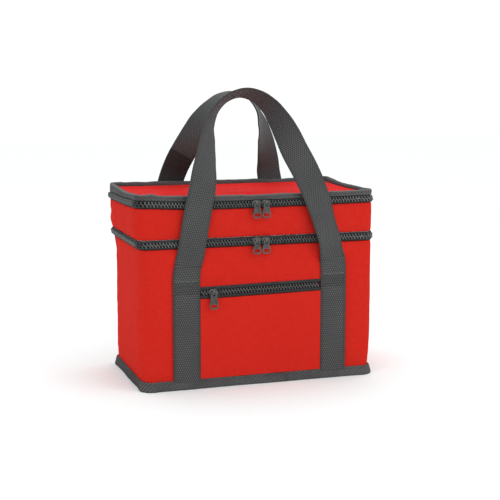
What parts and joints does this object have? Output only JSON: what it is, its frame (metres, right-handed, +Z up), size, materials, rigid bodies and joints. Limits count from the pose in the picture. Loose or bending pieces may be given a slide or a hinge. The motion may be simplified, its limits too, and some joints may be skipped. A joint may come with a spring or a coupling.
{
  "type": "insulated cooler bag",
  "caption": "Rectangular insulated cooler bag with a hinged upper compartment, a hinged lid, a zipped front pocket and two webbing carrying handles.",
  "frame": {"origin": "middle of the base's underside, where the bag stands on the ground", "axes": "+Z up, front with the pocket and the pull tabs towards -Y, width along X"},
  "size_m": [0.29, 0.1748, 0.3452],
  "materials": {
    "shell_fabric": "matte",
    "lid_fabric": "matte",
    "webbing": "matte",
    "binding_tape": "matte",
    "zip_tape": "matte",
    "zip_metal": "satin",
    "liner_film": "satin",
    "foam_board": "matte",
    "base_fabric": "matte"
  },
  "bodies": {
    "main_body": {"base_panel": "base_fabric", "base_binding": "binding_tape", "main_shell": "shell_fabric", "main_base_foam": "foam_board", "main_front_foam": "foam_board", "main_back_foam": "foam_board", "main_left_foam": "foam_board", "main_right_foam": "foam_board", "main_liner": "liner_film", "main_zip_lower": "zip_tape", "main_hinge_strip_lower": "shell_fabric", "pocket_panel": "shell_fabric", "pocket_zip_lower": "zip_tape", "pocket_zip_upper": "zip_tape", "front_left_sewn_strap": "webbing", "front_right_sewn_strap": "webbing", "back_left_sewn_strap": "webbing", "back_right_sewn_strap": "webbing"},
    "deck": {"deck_shell": "shell_fabric", "deck_lining": "liner_film", "deck_floor_foam": "foam_board", "deck_front_foam": "foam_board", "deck_back_foam": "foam_board", "deck_left_foam": "foam_board", "deck_right_foam": "foam_board", "deck_liner": "liner_film", "main_zip_upper": "zip_tape", "main_hinge_strip_upper": "shell_fabric", "top_zip_lower": "zip_tape", "lid_hinge_strip_lower": "shell_fabric"},
    "lid": {"lid_lining": "liner_film", "lid_foam": "foam_board", "lid_panel": "lid_fabric", "lid_binding": "binding_tape", "top_zip_upper": "zip_tape", "lid_hinge_strip_upper": "shell_fabric"},
    "front_lower_folds": {"front_left_lower_fold": "webbing", "front_right_lower_fold": "webbing"},
    "front_upper_folds": {"front_left_upper_fold": "webbing", "front_right_upper_fold": "webbing"},
    "front_handle": {"front_handle": "webbing"},
    "back_lower_folds": {"back_left_lower_fold": "webbing", "back_right_lower_fold": "webbing"},
    "back_upper_folds": {"back_left_upper_fold": "webbing", "back_right_upper_fold": "webbing"},
    "back_handle": {"back_handle": "webbing"},
    "top_left_slider": {"top_left_slider": "zip_metal"},
    "top_left_pull": {"top_left_pull": "zip_metal"},
    "top_right_slider": {"top_right_slider": "zip_metal"},
    "top_right_pull": {"top_right_pull": "zip_metal"},
    "main_left_slider": {"main_left_slider": "zip_metal"},
    "main_left_pull": {"main_left_pull": "zip_metal"},
    "main_right_slider": {"main_right_slider": "zip_metal"},
    "main_right_pull": {"main_right_pull": "zip_metal"},
    "pocket_slider": {"pocket_slider": "zip_metal"},
    "pocket_pull": {"pocket_pull": "zip_metal"}
  },
  "joints": [
    {"name": "lid_hinge", "type": "hinge", "parent": "deck", "child": "lid", "pos_m": [0, 0.0788, 0.2141], "axis": [-1, 0, 0], "range_deg": [0, 95]},
    {"name": "deck_hinge", "type": "hinge", "parent": "main_body", "child": "deck", "pos_m": [0, 0.0788, 0.169], "axis": [-1, 0, 0], "range_deg": [0, 90]},
    {"name": "front_fold_with_lid", "type": "hinge", "parent": "main_body", "child": "front_lower_folds", "pos_m": [0, -0.07832, 0.132], "axis": [1, 0, 0], "range_deg": [0, 62.2]},
    {"name": "front_fold_with_deck", "type": "hinge", "parent": "front_lower_folds", "child": "front_upper_folds", "pos_m": [0, -0.07832, 0.134], "axis": [1, 0, 0], "range_deg": [0, 54.5]},
    {"name": "front_handle_swing", "type": "hinge", "parent": "front_upper_folds", "child": "front_handle", "pos_m": [0, -0.07832, 0.142], "axis": [-1, 0, 0], "range_deg": [-110, 0]},
    {"name": "back_fold_with_lid", "type": "hinge", "parent": "main_body", "child": "back_lower_folds", "pos_m": [0, 0.07832, 0.132], "axis": [-1, 0, 0], "range_deg": [0, 38.5]},
    {"name": "back_fold_with_deck", "type": "hinge", "parent": "back_lower_folds", "child": "back_upper_folds", "pos_m": [0, 0.07832, 0.134], "axis": [-1, 0, 0], "range_deg": [0, 77]},
    {"name": "back_handle_swing", "type": "hinge", "parent": "back_upper_folds", "child": "back_handle", "pos_m": [0, 0.07832, 0.142], "axis": [1, 0, 0], "range_deg": [-110, 0]},
    {"name": "top_left_slide", "type": "slide", "parent": "deck", "child": "top_left_slider", "axis": [-1, 0, 0], "range_m": [0, 0.113]},
    {"name": "top_left_pull_swing", "type": "hinge", "parent": "top_left_slider", "child": "top_left_pull", "pos_m": [-0.0052, -0.08255, 0.2141], "axis": [-1, 0, 0], "range_deg": [0, 110]},
    {"name": "top_right_slide", "type": "slide", "parent": "deck", "child": "top_right_slider", "axis": [1, 0, 0], "range_m": [0, 0.112]},
    {"name": "top_right_pull_swing", "type": "hinge", "parent": "top_right_slider", "child": "top_right_pull", "pos_m": [0.0062, -0.08255, 0.2141], "axis": [-1, 0, 0], "range_deg": [0, 110]},
    {"name": "main_left_slide", "type": "slide", "parent": "main_body", "child": "main_left_slider", "axis": [-1, 0, 0], "range_m": [0, 0.113]},
    {"name": "main_left_pull_swing", "type": "hinge", "parent": "main_left_slider", "child": "main_left_pull", "pos_m": [-0.0052, -0.08255, 0.169], "axis": [-1, 0, 0], "range_deg": [0, 110]},
    {"name": "main_right_slide", "type": "slide", "parent": "main_body", "child": "main_right_slider", "axis": [1, 0, 0], "range_m": [0, 0.112]},
    {"name": "main_right_pull_swing", "type": "hinge", "parent": "main_right_slider", "child": "main_right_pull", "pos_m": [0.0062, -0.08255, 0.169], "axis": [-1, 0, 0], "range_deg": [0, 110]},
    {"name": "pocket_slide", "type": "slide", "parent": "main_body", "child": "pocket_slider", "axis": [1, 0, 0], "range_m": [0, 0.121]},
    {"name": "pocket_pull_swing", "type": "hinge", "parent": "pocket_slider", "child": "pocket_pull", "pos_m": [-0.057, -0.08255, 0.1118], "axis": [-1, 0, 0], "range_deg": [0, 110]}
  ],
  "couplings": [
    {"joint": "front_fold_with_lid", "follows": "lid_hinge", "ratio": 0.65},
    {"joint": "front_fold_with_deck", "follows": "deck_hinge", "ratio": 0.6},
    {"joint": "back_fold_with_lid", "follows": "lid_hinge", "ratio": 0.4},
    {"joint": "back_fold_with_deck", "follows": "deck_hinge", "ratio": 0.85}
  ]
}
